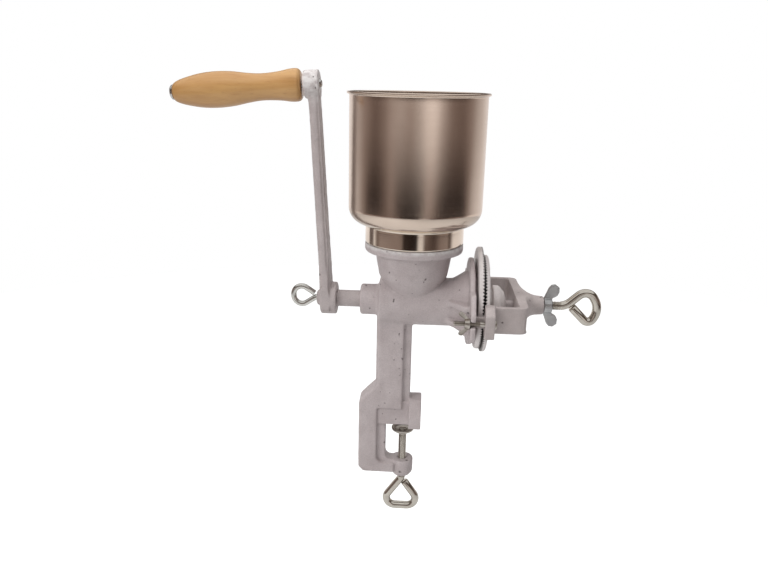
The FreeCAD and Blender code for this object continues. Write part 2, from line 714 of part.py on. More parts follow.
def lock_wing_nut():
    x = YOKE_END + SEAT_GAP
    hub = flat_sided_x([(x, 8.6), (x + 8.7, 8.6)], SMALL_SIDES)
    wings = wing_pair(
        [(x + 0.4, 5.5), (x + 0.4, 9.5, 1.0), (x + 6.2, 24.6, 6.0), (x + 18.5, 22.0, 6.0),
         (x + 14.0, 11.0, 5.0), (x + 8.4, 8.2), (x + 8.4, 5.5)], 4.0, 0.0, AXIS_Z)
    bore = rod_x(ADJUST_R + THREAD_FIT, x - 1.0, x + 10.0)
    return hub.fuse(wings).cut(bore).removeSplitter()


def yoke():
    plan = []
    for side in (-1, 1):
        half = [
            (FOOT_X, side * ARM_IN), (FOOT_X, side * ARM_OUT), (BAR_OUT, side * ARM_OUT, 8.0),
            (BAR_OUT + 0.5, side * (ARM_OUT - END_LAND)),
            (BAR_OUT + FLARE_L, side * FLARE_Y, FLARE_R), (BAR_OUT + 3.0 * FLARE_L, side * YOKE_BOSS_R)]
        inner = [(BAR_IN, side * ARM_IN, 4.0)]
        plan.append((half, inner))
    outline = plan[0][0] + plan[1][0][::-1] + plan[1][1] + plan[0][1]
    frame = slab(outline, "XY", AXIS_Z - ARM_H / 2.0, AXIS_Z + ARM_H / 2.0)
    boss = flat_sided_x(
        [(BAR_IN, YOKE_BOSS_R + 1.0), (BAR_OUT + 8.0, YOKE_BOSS_R + 1.0), (YOKE_END, YOKE_BOSS_R - 0.6)],
        SMALL_SIDES)
    solids = [boss]
    for side in (-1, 1):
        solids.append(slab(
            [(side * ARM_IN, AXIS_Z - FOOT_DOWN), (side * EAR_OUT, AXIS_Z - FOOT_DOWN, 2.0),
             (side * EAR_OUT, AXIS_Z + FOOT_UP * 0.5, 3.0), (side * (EAR_OUT - 7.0), AXIS_Z + FOOT_UP, 4.0),
             (side * ARM_IN, AXIS_Z + FOOT_UP)], "YZ", FOOT_X, FOOT_BACK))
        solids.append(Part.makeBox(
            FOOT_X - FLANGE_FACE + 1.0, TONGUE_T, TONGUE_H,
            V(FLANGE_FACE, side * ARM_OUT - TONGUE_T / 2.0, BOLT_Z - TONGUE_H / 2.0)))
    frame = frame.fuse(solids)
    holes = [rod_x(ADJUST_R + THREAD_FIT, BAR_IN - 1.0, YOKE_END + 1.0)]
    for side in (-1, 1):
        holes.append(rod_x(BOLT_R + LOOSE_FIT, FOOT_X - 10.0, FOOT_BACK + 1.0, side * BOLT_Y, BOLT_Z))
        holes.append(Part.makeCylinder(
            END_HOLLOW_R, END_LAND + 1.0,
            V(BAR_OUT + END_HOLLOW_R - END_HOLLOW, side * (ARM_OUT + 1.0), AXIS_Z), V(0, -side, 0)))
    return frame.cut(holes).removeSplitter()


def yoke_bolt(side):
    y = side * BOLT_Y
    head = flat_sided_x([(FOOT_BACK, 5.6), (FOOT_BACK + 2.4, 5.6)], SMALL_SIDES, y, BOLT_Z)
    return rod_x(BOLT_R, FLANGE_X - 16.5, FOOT_BACK, y, BOLT_Z).fuse(head)


def yoke_wing_nut(side):
    x = FLANGE_X - SEAT_GAP
    y = side * BOLT_Y
    hub = flat_sided_x([(x - 5.6, 4.7), (x, 5.4)], SMALL_SIDES, y, BOLT_Z)
    wings = wing_pair(
        [(x - 0.8, 3.5), (x - 0.8, 5.2, 0.8), (x - 7.8, 12.2, 1.2), (x - 12.2, 11.2, 1.2),
         (x - 10.8, 8.0, 1.0), (x - 5.4, 4.4), (x - 5.4, 3.5)], 3.0, y, BOLT_Z)
    wings.rotate(V(0, y, BOLT_Z), V(1, 0, 0), side * NUT_TURN)
    bore = rod_x(BOLT_R + THREAD_FIT, x - 10.0, x + 1.0, y, BOLT_Z)
    return hub.fuse(wings).cut(bore).removeSplitter()


def clamp_pad():
    neck = 3.0 + RUN_FIT
    return flat_sided_z([
        (neck, PAD_LOW), (7.5, PAD_LOW), (PAD_R, PAD_RIM - 2.2), (PAD_R, PAD_RIM),
        (PAD_R - 1.8, PAD_RIM), (8.5, PAD_LOW + PAD_FLOOR), (neck, PAD_LOW + PAD_FLOOR)], SMALL_SIDES)


def clamp_screw():
    low = ARM_TOP - CLAMP_BOSS_L
    bend = low - CLAMP_DROP
    eye = low - CLAMP_EYE_DROP
    path = [
        (0.0, PAD_LOW - SEAT_GAP), (0.0, bend, 2.0 * CLAMP_R), (-CLAMP_EYE_HALF, eye, CLAMP_BEND),
        (CLAMP_EYE_HALF, eye, CLAMP_BEND), (0.98 * CLAMP_R, bend - 1.82 * CLAMP_R)]
    rod = bent_rod(path, CLAMP_R, 0.0, PAD_LOW - SEAT_GAP - bend - 1.35 * CLAMP_R)
    floor = PAD_LOW + PAD_FLOOR + SEAT_GAP
    tip = turned_z([
        (0.0, PAD_LOW - SEAT_GAP - 1.0), (3.0, PAD_LOW - SEAT_GAP - 1.0), (3.0, floor),
        (4.6, floor), (4.6, floor + 1.1), (0.0, floor + 1.1)])
    return rod.fuse(tip).removeSplitter()


def pieces():
    out = {
        "mill_body": mill_body(),
        "hopper": hopper(),
        "stationary_burr": stationary_burr(),
        "rotating_burr": rotating_burr(),
        "auger": auger(),
        "drive_pin": drive_pin(),
        "crank_arm": crank_arm(),
        "crank_screw": crank_screw(),
        "handle_pin": handle_pin(),
        "handle_grip": handle_grip(),
        "thrust_ball": thrust_ball(),
        "adjusting_screw": adjusting_screw(),
        "lock_wing_nut": lock_wing_nut(),
        "yoke": yoke(),
        "clamp_pad": clamp_pad(),
        "clamp_screw": clamp_screw(),
    }
    for k, name in enumerate(("top", "near", "far")):
        out["burr_dowel_" + name] = dowel_rod(k)
    for side, name in ((-1, "near"), (1, "far")):
        out["yoke_bolt_" + name] = yoke_bolt(side)
        out["wing_nut_" + name] = yoke_wing_nut(side)
    return out


os.makedirs("parts", exist_ok=True)
for node, shape in pieces().items():
    solid = shape.Solids[0] if len(shape.Solids) == 1 else shape
    solid.exportStep("parts/" + node + ".step")
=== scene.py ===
import json
import math

import bmesh
import bpy
import numpy as np
from mathutils import Matrix, Vector, noise


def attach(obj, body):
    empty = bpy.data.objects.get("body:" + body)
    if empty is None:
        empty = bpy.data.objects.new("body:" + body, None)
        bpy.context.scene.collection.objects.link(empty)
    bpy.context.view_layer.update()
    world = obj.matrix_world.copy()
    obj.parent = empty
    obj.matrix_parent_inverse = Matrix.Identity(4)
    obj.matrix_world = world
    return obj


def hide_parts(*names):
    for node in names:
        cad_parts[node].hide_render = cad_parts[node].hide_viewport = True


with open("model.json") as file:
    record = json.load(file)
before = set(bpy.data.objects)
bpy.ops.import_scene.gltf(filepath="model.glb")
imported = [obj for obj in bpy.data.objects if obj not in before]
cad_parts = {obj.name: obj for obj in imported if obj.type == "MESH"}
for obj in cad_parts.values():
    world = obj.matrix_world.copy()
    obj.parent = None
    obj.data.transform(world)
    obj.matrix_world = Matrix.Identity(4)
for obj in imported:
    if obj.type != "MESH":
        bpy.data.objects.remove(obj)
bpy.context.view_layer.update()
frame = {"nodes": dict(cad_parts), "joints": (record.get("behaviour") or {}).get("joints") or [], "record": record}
scene = bpy.context.scene
MM = 0.001

# Lines of the mill, in millimetres as in the part's frame
AXIS_Z = 145.0
THROAT_X = 6.0
TURN_BACK = 85.2
DOME_X = 106.0
BOLT_Y = 64.0
BOLT_Z = 143.0
ORIGIN = (0.0, 0.0, 0.0)
SHAFT = (0.0, 0.0, AXIS_Z)
X_WAY = (1, 0, 0)
Z_WAY = (0, 0, 1)

# Camera that was fitted to the photograph
CAM_POS = (13.1, -725.2, 375.5)
CAM_YAW = -3.0
CAM_PITCH = 16.68
CAM_ROLL = 1.2
CAM_FOCAL = 700.0
IMAGE_W = 768.0
SENSOR = 36.0


# Node helpers

def put(tree, socket, value):
    """Sets a socket to a value, or links it to another node's output."""
    if isinstance(value, bpy.types.NodeSocket):
        tree.links.new(value, socket)
    else:
        socket.default_value = value


def add(tree, kind, props=None, **sockets):
    """New node; sockets are set by name, either to a value or to another node's output."""
    n = tree.nodes.new(kind)
    for key, value in (props or {}).items():
        setattr(n, key, value)
    for key, value in sockets.items():
        put(tree, n.inputs[key.replace("_", " ")], value)
    return n


def ramp(tree, fac, stops, ease="LINEAR"):
    """Colour ramp; stops are (place, grey or colour)."""
    n = add(tree, "ShaderNodeValToRGB", Fac=fac)
    r = n.color_ramp
    r.interpolation = ease
    while len(r.elements) < len(stops):
        r.elements.new(0.5)
    for e, (place, colour) in zip(r.elements, stops):
        e.position = place
        c = colour if isinstance(colour, tuple) else (colour,) * 3
        e.color = (*c, 1.0)
    return n.outputs["Color"]


def mix(tree, fac, a, b, blend="MIX"):
    """Blend of two colours, each a tuple or another node's output."""
    n = add(tree, "ShaderNodeMix", {"data_type": "RGBA", "blend_type": blend})
    for socket, value in ((n.inputs[0], fac), (n.inputs[6], a), (n.inputs[7], b)):
        put(tree, socket, (*value, 1.0) if isinstance(value, tuple) else value)
    return n.outputs[2]


def maths(tree, operation, *values):
    """Sum, product or other function of numbers and other nodes' outputs."""
    n = add(tree, "ShaderNodeMath", {"operation": operation})
    for socket, value in zip(n.inputs, values):
        put(tree, socket, value)
    return n.outputs[0]


def span(tree, value, start, end, top=1.0):
    """Rises from 0 to top while the value goes from start to end."""
    n = add(tree, "ShaderNodeMapRange", Value=value, From_Min=start, From_Max=end, To_Max=top)
    return n.outputs["Result"]


def along(tree, axis):
    """One of the object's own coordinates, in metres."""
    place = add(tree, "ShaderNodeTexCoord").outputs["Object"]
    return add(tree, "ShaderNodeSeparateXYZ", Vector=place).outputs[axis]


def grain(tree, scale, detail=4.0, rough=0.55, vector=None):
    """Noise in object coordinates, or in the vector given."""
    if vector is None:
        vector = add(tree, "ShaderNodeTexCoord").outputs["Object"]
    n = add(tree, "ShaderNodeTexNoise", Scale=scale, Detail=detail, Roughness=rough, Vector=vector)
    return n.outputs["Fac"]


def stretched(tree, scale):
    """Object coordinates stretched by three factors."""
    place = add(tree, "ShaderNodeTexCoord").outputs["Object"]
    return add(tree, "ShaderNodeMapping", Vector=place, Scale=scale).outputs["Vector"]


def bump(tree, height, distance, strength, under=None):
    """Bumped normal, on top of another one if it is given."""
    n = add(tree, "ShaderNodeBump", Height=height, Distance=distance, Strength=strength)
    if under is not None:
        tree.links.new(under, n.inputs["Normal"])
    return n.outputs["Normal"]


def material(name, fill):
    """New material, whose nodes the fill function adds."""
    m = bpy.data.materials.new(name)
    m.use_nodes = True
    tree = m.node_tree
    fill(tree, tree.nodes["Principled BSDF"])
    return m


# Materials

# Colour of the casting's pits, also painted as shade into its creases
PITS_AND_CREVICE_SHADE = (0.13, 0.11, 0.105)
# Pale colour of the casting's edges: partly wear, partly a painted highlight where edges catch the light
WORN_AND_LIT_EDGE = (0.66, 0.63, 0.62)
# Pale colour of a casting's top: worn patches and a painted highlight
WORN_AND_LIT_TOP = (0.72, 0.685, 0.67)

# Heights in metres between which a casting pales towards its top: worn patches together with a painted highlight
# where the top catches the light
BODY_LIT_TOP = (0.206, 0.2095)
ARM_LIT_TOP = (0.345, 0.37)

# Heights in metres between which the hopper changes from its bright neck to its satin wall
NECK_END = (0.2325, 0.2365)

# Places along X in metres between which the grip darkens towards its end
GRIP_DARKENS = (-0.19, -0.24)


def casting(low, high, rough, lit_top=None):
    """Tinned casting: patchy colour, dark pits, pale worn edges that also carry a painted highlight, painted shade
    in creases, where asked a top paled by wear and a painted highlight, and a fine sand grain.
    """
    def fill(tree, out):
        colour = mix(tree, ramp(tree, grain(tree, 45.0), [(0.3, 0.0), (0.7, 1.0)]), low, high)
        fine = ramp(tree, grain(tree, 1100.0, 2.0), [(0.3, 0.86), (0.7, 1.08)])
        colour = mix(tree, 1.0, colour, fine, "MULTIPLY")
        if lit_top:
            # Painted highlight on the top, broken into pale worn patches
            patches = ramp(tree, grain(tree, 170.0, 5.0, 0.7), [(0.38, 0.15), (0.58, 1.0)])
            lit_top_mask = mix(tree, 1.0, span(tree, along(tree, "Z"), *lit_top), patches, "MULTIPLY")
            colour = mix(tree, lit_top_mask, colour, WORN_AND_LIT_TOP)
        edge = add(tree, "ShaderNodeNewGeometry").outputs["Pointiness"]
        # Convex edges paler: wear together with a painted highlight
        colour = mix(tree, ramp(tree, edge, [(0.53, 0.0), (0.6, 0.55)]), colour, WORN_AND_LIT_EDGE)
        # Painted shade: creases and hollows, where pointiness is low, darken towards the pit colour
        colour = mix(tree, ramp(tree, edge, [(0.40, 0.75), (0.485, 0.0)]), colour, PITS_AND_CREVICE_SHADE)
        holes = ramp(tree, grain(tree, 190.0, 1.0, 0.4), [(0.735, 0.0), (0.775, 0.9)])
        colour = mix(tree, holes, colour, PITS_AND_CREVICE_SHADE)
        tree.links.new(colour, out.inputs["Base Color"])
        dull = ramp(tree, grain(tree, 320.0), [(0.3, rough - 0.07), (0.7, rough + 0.1)])
        tree.links.new(dull, out.inputs["Roughness"])
        skin = bump(tree, grain(tree, 260.0, 3.0), 0.0006, 0.35)
        skin = bump(tree, grain(tree, 900.0, 3.0), 0.0003, 0.4, skin)
        tree.links.new(bump(tree, holes, -0.0005, 0.6, skin), out.inputs["Normal"])
    return fill


def plated(low, high, rough, lines):
    """Plated steel: slightly cloudy colour, uneven gloss and fine drawing lines along one axis."""
    def fill(tree, out):
        colour = mix(tree, ramp(tree, grain(tree, 130.0), [(0.3, 0.0), (0.7, 1.0)]), low, high)
        spots = ramp(tree, grain(tree, 700.0, 2.0), [(0.66, 0.0), (0.76, 0.6)])
        colour = mix(tree, spots, colour, tuple(0.45 * c for c in low))
        tree.links.new(colour, out.inputs["Base Color"])
        scratch = grain(tree, 40.0, 4.0, 0.6, stretched(tree, lines))
        dull = ramp(tree, scratch, [(0.3, rough - 0.05), (0.7, rough + 0.09)])
        tree.links.new(dull, out.inputs["Roughness"])
        tree.links.new(bump(tree, scratch, 0.0001, 0.25), out.inputs["Normal"])
        out.inputs["Metallic"].default_value = 1.0
    return fill


def spun_steel(tree, out):
    """Drawn hopper: warm satin wall with faint rings from spinning, mirror-bright neck."""
    wall = span(tree, along(tree, "Z"), *NECK_END)
    cloud = ramp(tree, grain(tree, 22.0, 3.0), [(0.3, 0.0), (0.7, 1.0)])
    colour = mix(tree, cloud, (0.60, 0.49, 0.41), (0.66, 0.55, 0.465))
    colour = mix(tree, wall, (0.68, 0.59, 0.50), colour)
    tree.links.new(colour, out.inputs["Base Color"])
    spun = grain(tree, 30.0, 3.0, 0.6, stretched(tree, (0.1, 0.1, 40.0)))
    satin = ramp(tree, spun, [(0.3, 0.14), (0.7, 0.19)])
    tree.links.new(mix(tree, wall, (0.09, 0.09, 0.09), satin), out.inputs["Roughness"])
    skin = bump(tree, spun, 0.00005, 0.15)
    peel = mix(tree, wall, (0.5, 0.5, 0.5), grain(tree, 1500.0, 1.0))
    skin = bump(tree, peel, 0.00007, 0.35, skin)
    tree.links.new(skin, out.inputs["Normal"])
    around = add(tree, "ShaderNodeTangent", {"direction_type": "RADIAL", "axis": "Z"})
    tree.links.new(around.outputs["Tangent"], out.inputs["Tangent"])
    out.inputs["Anisotropic"].default_value = 0.9
    out.inputs["Metallic"].default_value = 1.0


def turned_wood(tree, out):
    """Pale turned wood with long grain, small dark flecks, a darker far end and a clear varnish."""
    long = grain(tree, 26.0, 5.0, 0.6, stretched(tree, (0.35, 3.2, 3.2)))
    pores = grain(tree, 60.0, 3.0, 0.6, stretched(tree, (0.5, 14.0, 14.0)))
    specks = grain(tree, 150.0, 1.0, 0.4, stretched(tree, (0.3, 1.0, 1.0)))
    colour = ramp(tree, long, [
        (0.28, (0.42, 0.205, 0.062)), (0.46, (0.50, 0.265, 0.09)), (0.6, (0.56, 0.315, 0.115)),
        (0.76, (0.46, 0.24, 0.078))])
    colour = mix(tree, ramp(tree, pores, [(0.6, 0.0), (0.72, 0.45)]), colour, (0.32, 0.15, 0.045))
    colour = mix(tree, ramp(tree, specks, [(0.74, 0.0), (0.8, 0.8)]), colour, (0.22, 0.10, 0.035))
    held = span(tree, along(tree, "X"), *GRIP_DARKENS, top=0.5)
    colour = mix(tree, held, colour, (0.36, 0.175, 0.05))
    tree.links.new(colour, out.inputs["Base Color"])
    tree.links.new(ramp(tree, pores, [(0.3, 0.34), (0.7, 0.46)]), out.inputs["Roughness"])
    tree.links.new(bump(tree, pores, 0.0002, 0.3), out.inputs["Normal"])
    out.inputs["Coat Weight"].default_value = 0.35
    out.inputs["Coat Roughness"].default_value = 0.2


BODY = material("cast_body", casting(
    (0.455, 0.39, 0.388), (0.565, 0.498, 0.495), 0.50, BODY_LIT_TOP))
CAST = material("cast_arm", casting(
    (0.405, 0.35, 0.344), (0.51, 0.45, 0.443), 0.50, ARM_LIT_TOP))
# Darker copy of the body's casting for the yoke: painted shade for the lesser key light that reaches it
YOKE_SHADED = material("cast_yoke_shaded", casting((0.42, 0.362, 0.352), (0.53, 0.465, 0.452), 0.50))
IRON = material("grinding_iron", casting((0.66, 0.60, 0.585), (0.78, 0.72, 0.705), 0.45))
# Near-black painted shade for the toothed faces, which lie in the shaded gap between the burrs
BURR_GAP_SHADE = material("burr_gap_shade", casting((0.045, 0.038, 0.034), (0.08, 0.068, 0.062), 0.6))
ZINC_X = material("screw_zinc", plated((0.47, 0.435, 0.385), (0.56, 0.525, 0.47), 0.11, (1.0, 8.0, 8.0)))
ZINC_DULL = material("nut_zinc", plated((0.37, 0.37, 0.372), (0.47, 0.47, 0.468), 0.40, (4.0, 4.0, 4.0)))
ZINC_GOLD = material("bolt_zinc", plated((0.40, 0.365, 0.325), (0.51, 0.475, 0.43), 0.30, (1.0, 6.0, 6.0)))
BRIGHT = material("eye_bright", plated((0.54, 0.53, 0.50), (0.64, 0.63, 0.60), 0.17, (1.0, 8.0, 8.0)))
STEEL = material("pin_steel", plated((0.50, 0.50, 0.49), (0.62, 0.61, 0.60), 0.22, (1.0, 8.0, 8.0)))
HOPPER = material("hopper_steel", spun_steel)
WOOD = material("grip_wood", turned_wood)


# Mesh helpers

def node_body(node):
    """Body that carries a node."""
    for body, members in frame["record"]["behaviour"]["bodies"].items():
        if node in members:
            return body


def piece(node, mesh, mat, sharp=None):
    """Puts a finished mesh in the place of a CAD node."""
    mesh.materials.clear()
    mesh.materials.append(mat)
    mesh.shade_smooth()
    if sharp is not None:
        mesh.set_sharp_from_angle(angle=math.radians(sharp))
    o = bpy.data.objects.new(node + "_shape", mesh)
    scene.collection.objects.link(o)
    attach(o, node_body(node))
    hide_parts(node)
    return o


def grid_mesh(name, parts):
    """Mesh from lists of rows of points.

    A row of one point is a tip, and a looped list joins its last row to its first.
    """
    verts, faces = [], []
    for rows, loop in parts:
        starts = []
        for row in rows:
            starts.append(len(verts))
            verts += [tuple(p) for p in row]
        pairs = [(k, k + 1) for k in range(len(rows) - 1)] + ([(len(rows) - 1, 0)] if loop else [])
        for a, b in pairs:
            sa, sb, na, nb = starts[a], starts[b], len(rows[a]), len(rows[b])
            n = max(na, nb)
            for k in range(n):
                m = (k + 1) % n
                if na == 1:
                    faces.append((sa, sb + m, sb + k))
                elif nb == 1:
                    faces.append((sa + k, sa + m, sb))
                else:
                    faces.append((sa + k, sa + m, sb + m, sb + k))
    mesh = bpy.data.meshes.new(name)
    mesh.from_pydata(verts, [], faces)
    bm = bmesh.new()
    bm.from_mesh(mesh)
    bmesh.ops.recalc_face_normals(bm, faces=bm.faces)
    bm.to_mesh(mesh)
    bm.free()
    return mesh


def rings(profile, origin, axis, sides):
    """Rows of a turned shape; profile holds (along, radius), all in millimetres."""
    axis = np.array(Vector(axis).normalized())
    u = np.array(Vector(axis).orthogonal().normalized())
    v = np.cross(axis, u)
    t = np.linspace(0.0, 2.0 * math.pi, sides, endpoint=False)
    rows = []
    for along, r in profile:
        mid = np.array(origin) + axis * along
        if r < 1e-6:
            rows.append([mid * MM])
        else:
            rows.append((mid + r * (np.outer(np.cos(t), u) + np.outer(np.sin(t), v))) * MM)
    return rows


def turned(name, profile, origin, axis, sides, loop=False):
    """Mesh of one turned shape."""
    return grid_mesh(name, [(rings(profile, origin, axis, sides), loop)])


def curve(points, steps):
    """Smooth line through points, with a few steps between each pair."""
    p = np.array([points[0]] + list(points) + [points[-1]], float)
    out = []
    for k in range(1, len(p) - 2):
        for s in range(steps):
            t = s / steps
            a, b, c, d = p[k - 1], p[k], p[k + 1], p[k + 2]
            square = 2 * a - 5 * b + 4 * c - d
            cube = 3 * b - a - 3 * c + d
            out.append(tuple(0.5 * (2 * b + (c - a) * t + square * t * t + cube * t ** 3)))
    return out + [tuple(p[-2])]


def corner(a, p, b, r, steps):
    """Points of a rounded corner at p on the way from a to b."""
    a, p, b = (np.array(q, float) for q in (a, p, b))
    u = (a - p) / np.linalg.norm(a - p)
    w = (b - p) / np.linalg.norm(b - p)
    half = math.acos(max(-1.0, min(1.0, float(u @ w)))) / 2.0
    mid = (u + w) / np.linalg.norm(u + w)
    centre = p + mid * r / math.sin(half)
    start = p + u * r / math.tan(half) - centre
    end = p + w * r / math.tan(half) - centre
    turn = math.pi - 2.0 * half
    out = []
    for k in range(steps + 1):
        near = start * math.sin(turn * (1 - k / steps))
        far = end * math.sin(turn * k / steps)
        out.append(tuple(centre + (near + far) / math.sin(turn)))
    return out


def rounded(points, closed, steps):
    """Outline whose points may carry a corner radius as third value."""
    n = len(points)
    out = []
    for k, p in enumerate(points):
        inner = closed or 0 < k < n - 1
        if len(p) > 2 and inner:
            out += corner(points[k - 1][:2], p[:2], points[(k + 1) % n][:2], p[2], steps)
        else:
            out.append(tuple(p[:2]))
    return out


# Bent screws: steps in a bend and in one turn of thread, distance over which the slope is taken,
# bevel of the ends as a share of the radius, and how much thinner the bar is than its named radius
BEND_STEPS = 12
THREAD_STEPS = 6
FEELER = 0.6
BEVEL_SHARE = 0.22
SLACK = 0.02


def bent_screw(path, r, thread, lift, sides=28, pitch=1.5, depth=0.62):
    """Round bar along a bent line in the XZ plane, with a rolled thread from one length to another."""
    line = np.array(rounded(path, closed=False, steps=BEND_STEPS))
    line[:, 1] += lift
    reach = np.concatenate([[0.0], np.cumsum(np.linalg.norm(np.diff(line, axis=0), axis=1))])
    last = reach[-1]
    bevel = BEVEL_SHARE * r
    stops = sorted(set(reach) | set(np.arange(thread[0], thread[1], pitch / THREAD_STEPS)))
    stops = [0.0, bevel] + [s for s in stops if bevel < s < last - bevel] + [last - bevel, last]
    t = np.linspace(0.0, 2.0 * math.pi, sides, endpoint=False)

    def point(s):
        return np.array([np.interp(s, reach, line[:, k]) for k in (0, 1)])

    def tip(xz):
        return [np.array([xz[0], 0.0, xz[1]]) * MM]

    rows = [tip(line[0])]
    for s in stops:
        mid = point(s)
        ahead = point(min(s + FEELER, last))
        back = point(max(s - FEELER, 0.0))
        way = (ahead - back) / np.linalg.norm(ahead - back)
        side = np.array([-way[1], way[0]])
        flank = np.abs(2.0 * np.mod(s / pitch - t / (2.0 * math.pi), 1.0) - 1.0)
        fade = min(1.0, max(0.0, (s - thread[0]) / pitch), max(0.0, (thread[1] - s) / pitch))
        rad = r - SLACK - depth * fade * np.clip(1.35 * flank - 0.2, 0.0, 1.0)
        if s in (0.0, last):
            rad = rad - 0.7 * bevel
        x = mid[0] + rad * np.cos(t) * side[0]
        z = mid[1] + rad * np.cos(t) * side[1]
        rows.append(np.stack([x, rad * np.sin(t), z], 1) * MM)
    return rows + [tip(line[-1])]


def prism(points, x0, x1, lean=0.0):
    """Closed outline in the YZ plane, drawn out along X; lean is the shift for each unit of height."""
    line = rounded(points, closed=True, steps=6)
    rows = [np.array([(x - lean * (z - AXIS_Z), y, z) for y, z in line]) * MM for x in (x0, x1)]
    return grid_mesh("prism", [([[rows[0].mean(0)], *rows, [rows[1].mean(0)]], False)])


def cast_copy(node, voxel, rounds, waves, edits=()):
    """Even fine mesh over a CAD node with softened edges and a slightly uneven skin.

    Edits are meshes that are first joined to the node or cut from it.
    """
    tmp = bpy.data.objects.new(node + "_tmp", frame["nodes"][node].data.copy())
    scene.collection.objects.link(tmp)
    bm = bmesh.new()
    bm.from_mesh(tmp.data)
    bmesh.ops.remove_doubles(bm, verts=bm.verts, dist=1e-6)
    bm.to_mesh(tmp.data)
    bm.free()
    tools = []
    for operation, shape in edits:
        tools.append(bpy.data.objects.new("tool", shape))
        scene.collection.objects.link(tools[-1])
        step = tmp.modifiers.new("edit", "BOOLEAN")
        step.operation = operation
        step.object = tools[-1]
    even = tmp.modifiers.new("even", "REMESH")
    even.mode = "VOXEL"
    even.voxel_size = voxel * MM
    soft = tmp.modifiers.new("soft", "SMOOTH")
    soft.factor = 0.5
    soft.iterations = rounds
    mesh = bpy.data.meshes.new_from_object(tmp.evaluated_get(bpy.context.evaluated_depsgraph_get()))
    for o in (tmp, *tools):
        bpy.data.objects.remove(o)
    n = len(mesh.vertices)
    co = np.zeros(n * 3, np.float32)
    mesh.vertices.foreach_get("co", co)
    nor = np.zeros(n * 3, np.float32)
    mesh.vertices.foreach_get("normal", nor)
    co, nor = co.reshape(-1, 3), nor.reshape(-1, 3)
    lift = np.zeros(n)
    for size, height in waves:
        lift += height * np.array([noise.noise(Vector(c) / (size * MM)) for c in co])
    low, high = (np.array(frame["nodes"][node].bound_box)[k] for k in (0, 6))
    co = np.clip(co + nor * (lift * MM)[:, None], low, high)
    mesh.vertices.foreach_set("co", co.astype(np.float32).ravel())
    mesh.update()
    return mesh


# Castings

# Unevenness of the skin: size and height of each wave
SKIN = ((16.0, 0.16), (4.0, 0.07))
AUGER_SKIN = ((12.0, 0.05),)

# Stations of the yoke's flare: place along X, half width, half height and squareness
FLARE = (
    (120.0, 44.0, 13.9, 9.0), (123.6, 44.0, 13.9, 9.0), (124.3, 36.0, 13.7, 8.0),
    (125.4, 28.0, 13.4, 6.0), (127.2, 21.0, 13.0, 4.5), (129.6, 15.8, 12.5, 3.2),
    (132.2, 12.8, 12.0, 2.4), (134.6, 11.4, 11.4, 2.0), (138.0, 10.6, 10.6, 2.0),
    (146.0, 9.8, 9.8, 2.0), (146.75, 9.1, 9.1, 2.0))
BAR_FACE = 123.55
TAP_R = 4.83

# Crank hub: its round end is turned down, and the arm's root spreads over it
HUB_END = -99.5
HUB_STEP = -93.0
HUB_CLEAR_R = 19.0
ROOT_X = (-92.1, -82.6)
ARM_LEAN = math.tan(math.radians(3.3))


def yoke_flare():
    """Bar of the yoke that swells into the tapped boss, from a flat bar to a round end."""
    rows = []
    t = np.linspace(0.0, 2.0 * math.pi, 64, endpoint=False)
    for x, wide, high, power in FLARE:
        y = wide * np.sign(np.cos(t)) * np.abs(np.cos(t)) ** (2.0 / power)
        z = AXIS_Z + high * np.sign(np.sin(t)) * np.abs(np.sin(t)) ** (2.0 / power)
        rows.append(np.stack([np.full(t.shape, x), y, z], 1) * MM)
    tips = [[rows[k].mean(0)] for k in (0, -1)]
    return grid_mesh("flare", [([tips[0], *rows, tips[1]], False)])


def yoke():
    """Yoke whose boss is cut off behind the bar and made again with a flare and its tapped hole."""
    beyond_bar = prism([(-75.0, 100.0), (75.0, 100.0), (75.0, 190.0), (-75.0, 190.0)], BAR_FACE, 160.0)
    tapped = turned(
        "tapped", [(110.0, 0.0), (110.0, TAP_R), (150.0, TAP_R), (150.0, 0.0)], SHAFT, X_WAY, sides=40)
    edits = [("DIFFERENCE", beyond_bar), ("UNION", yoke_flare()), ("DIFFERENCE", tapped)]
    return cast_copy("yoke", voxel=0.85, rounds=6, waves=SKIN, edits=edits)


def crank_arm():
    """Crank arm with a small round end on its hub and a root that spreads over the hub."""
    round_end = turned("round_end", [
        (HUB_END, 5.4), (-98.0, 6.2), (-96.5, 8.2), (HUB_STEP, 9.4), (HUB_STEP, HUB_CLEAR_R),
        (HUB_END, HUB_CLEAR_R)], SHAFT, X_WAY, sides=48, loop=True)
    root = prism([
        (-17.4, 133.0, 4.0), (-18.0, 155.0), (-12.0, 183.0), (12.0, 183.0), (18.0, 155.0),
        (17.4, 133.0, 4.0)], *ROOT_X, ARM_LEAN)
    edits = [("DIFFERENCE", round_end), ("UNION", root)]
    return cast_copy("crank_arm", voxel=0.85, rounds=6, waves=SKIN, edits=edits)


piece("mill_body", cast_copy("mill_body", voxel=1.1, rounds=6, waves=SKIN), BODY)
piece("yoke", yoke(), YOKE_SHADED)
piece("crank_arm", crank_arm(), CAST)
piece("auger", cast_copy("auger", voxel=0.8, rounds=5, waves=AUGER_SKIN), CAST)


# Hopper

WALL_R = 69.5
RIM_R = 72.1
NECK_R = 51.7
SPIGOT_R = 48.2
SHEET = 1.0
SPIGOT_Z = 204.0
LIP_Z = 211.0
SHOULDER_Z = 231.0
RIM_Z = 361.7
BEAD_R = 1.35


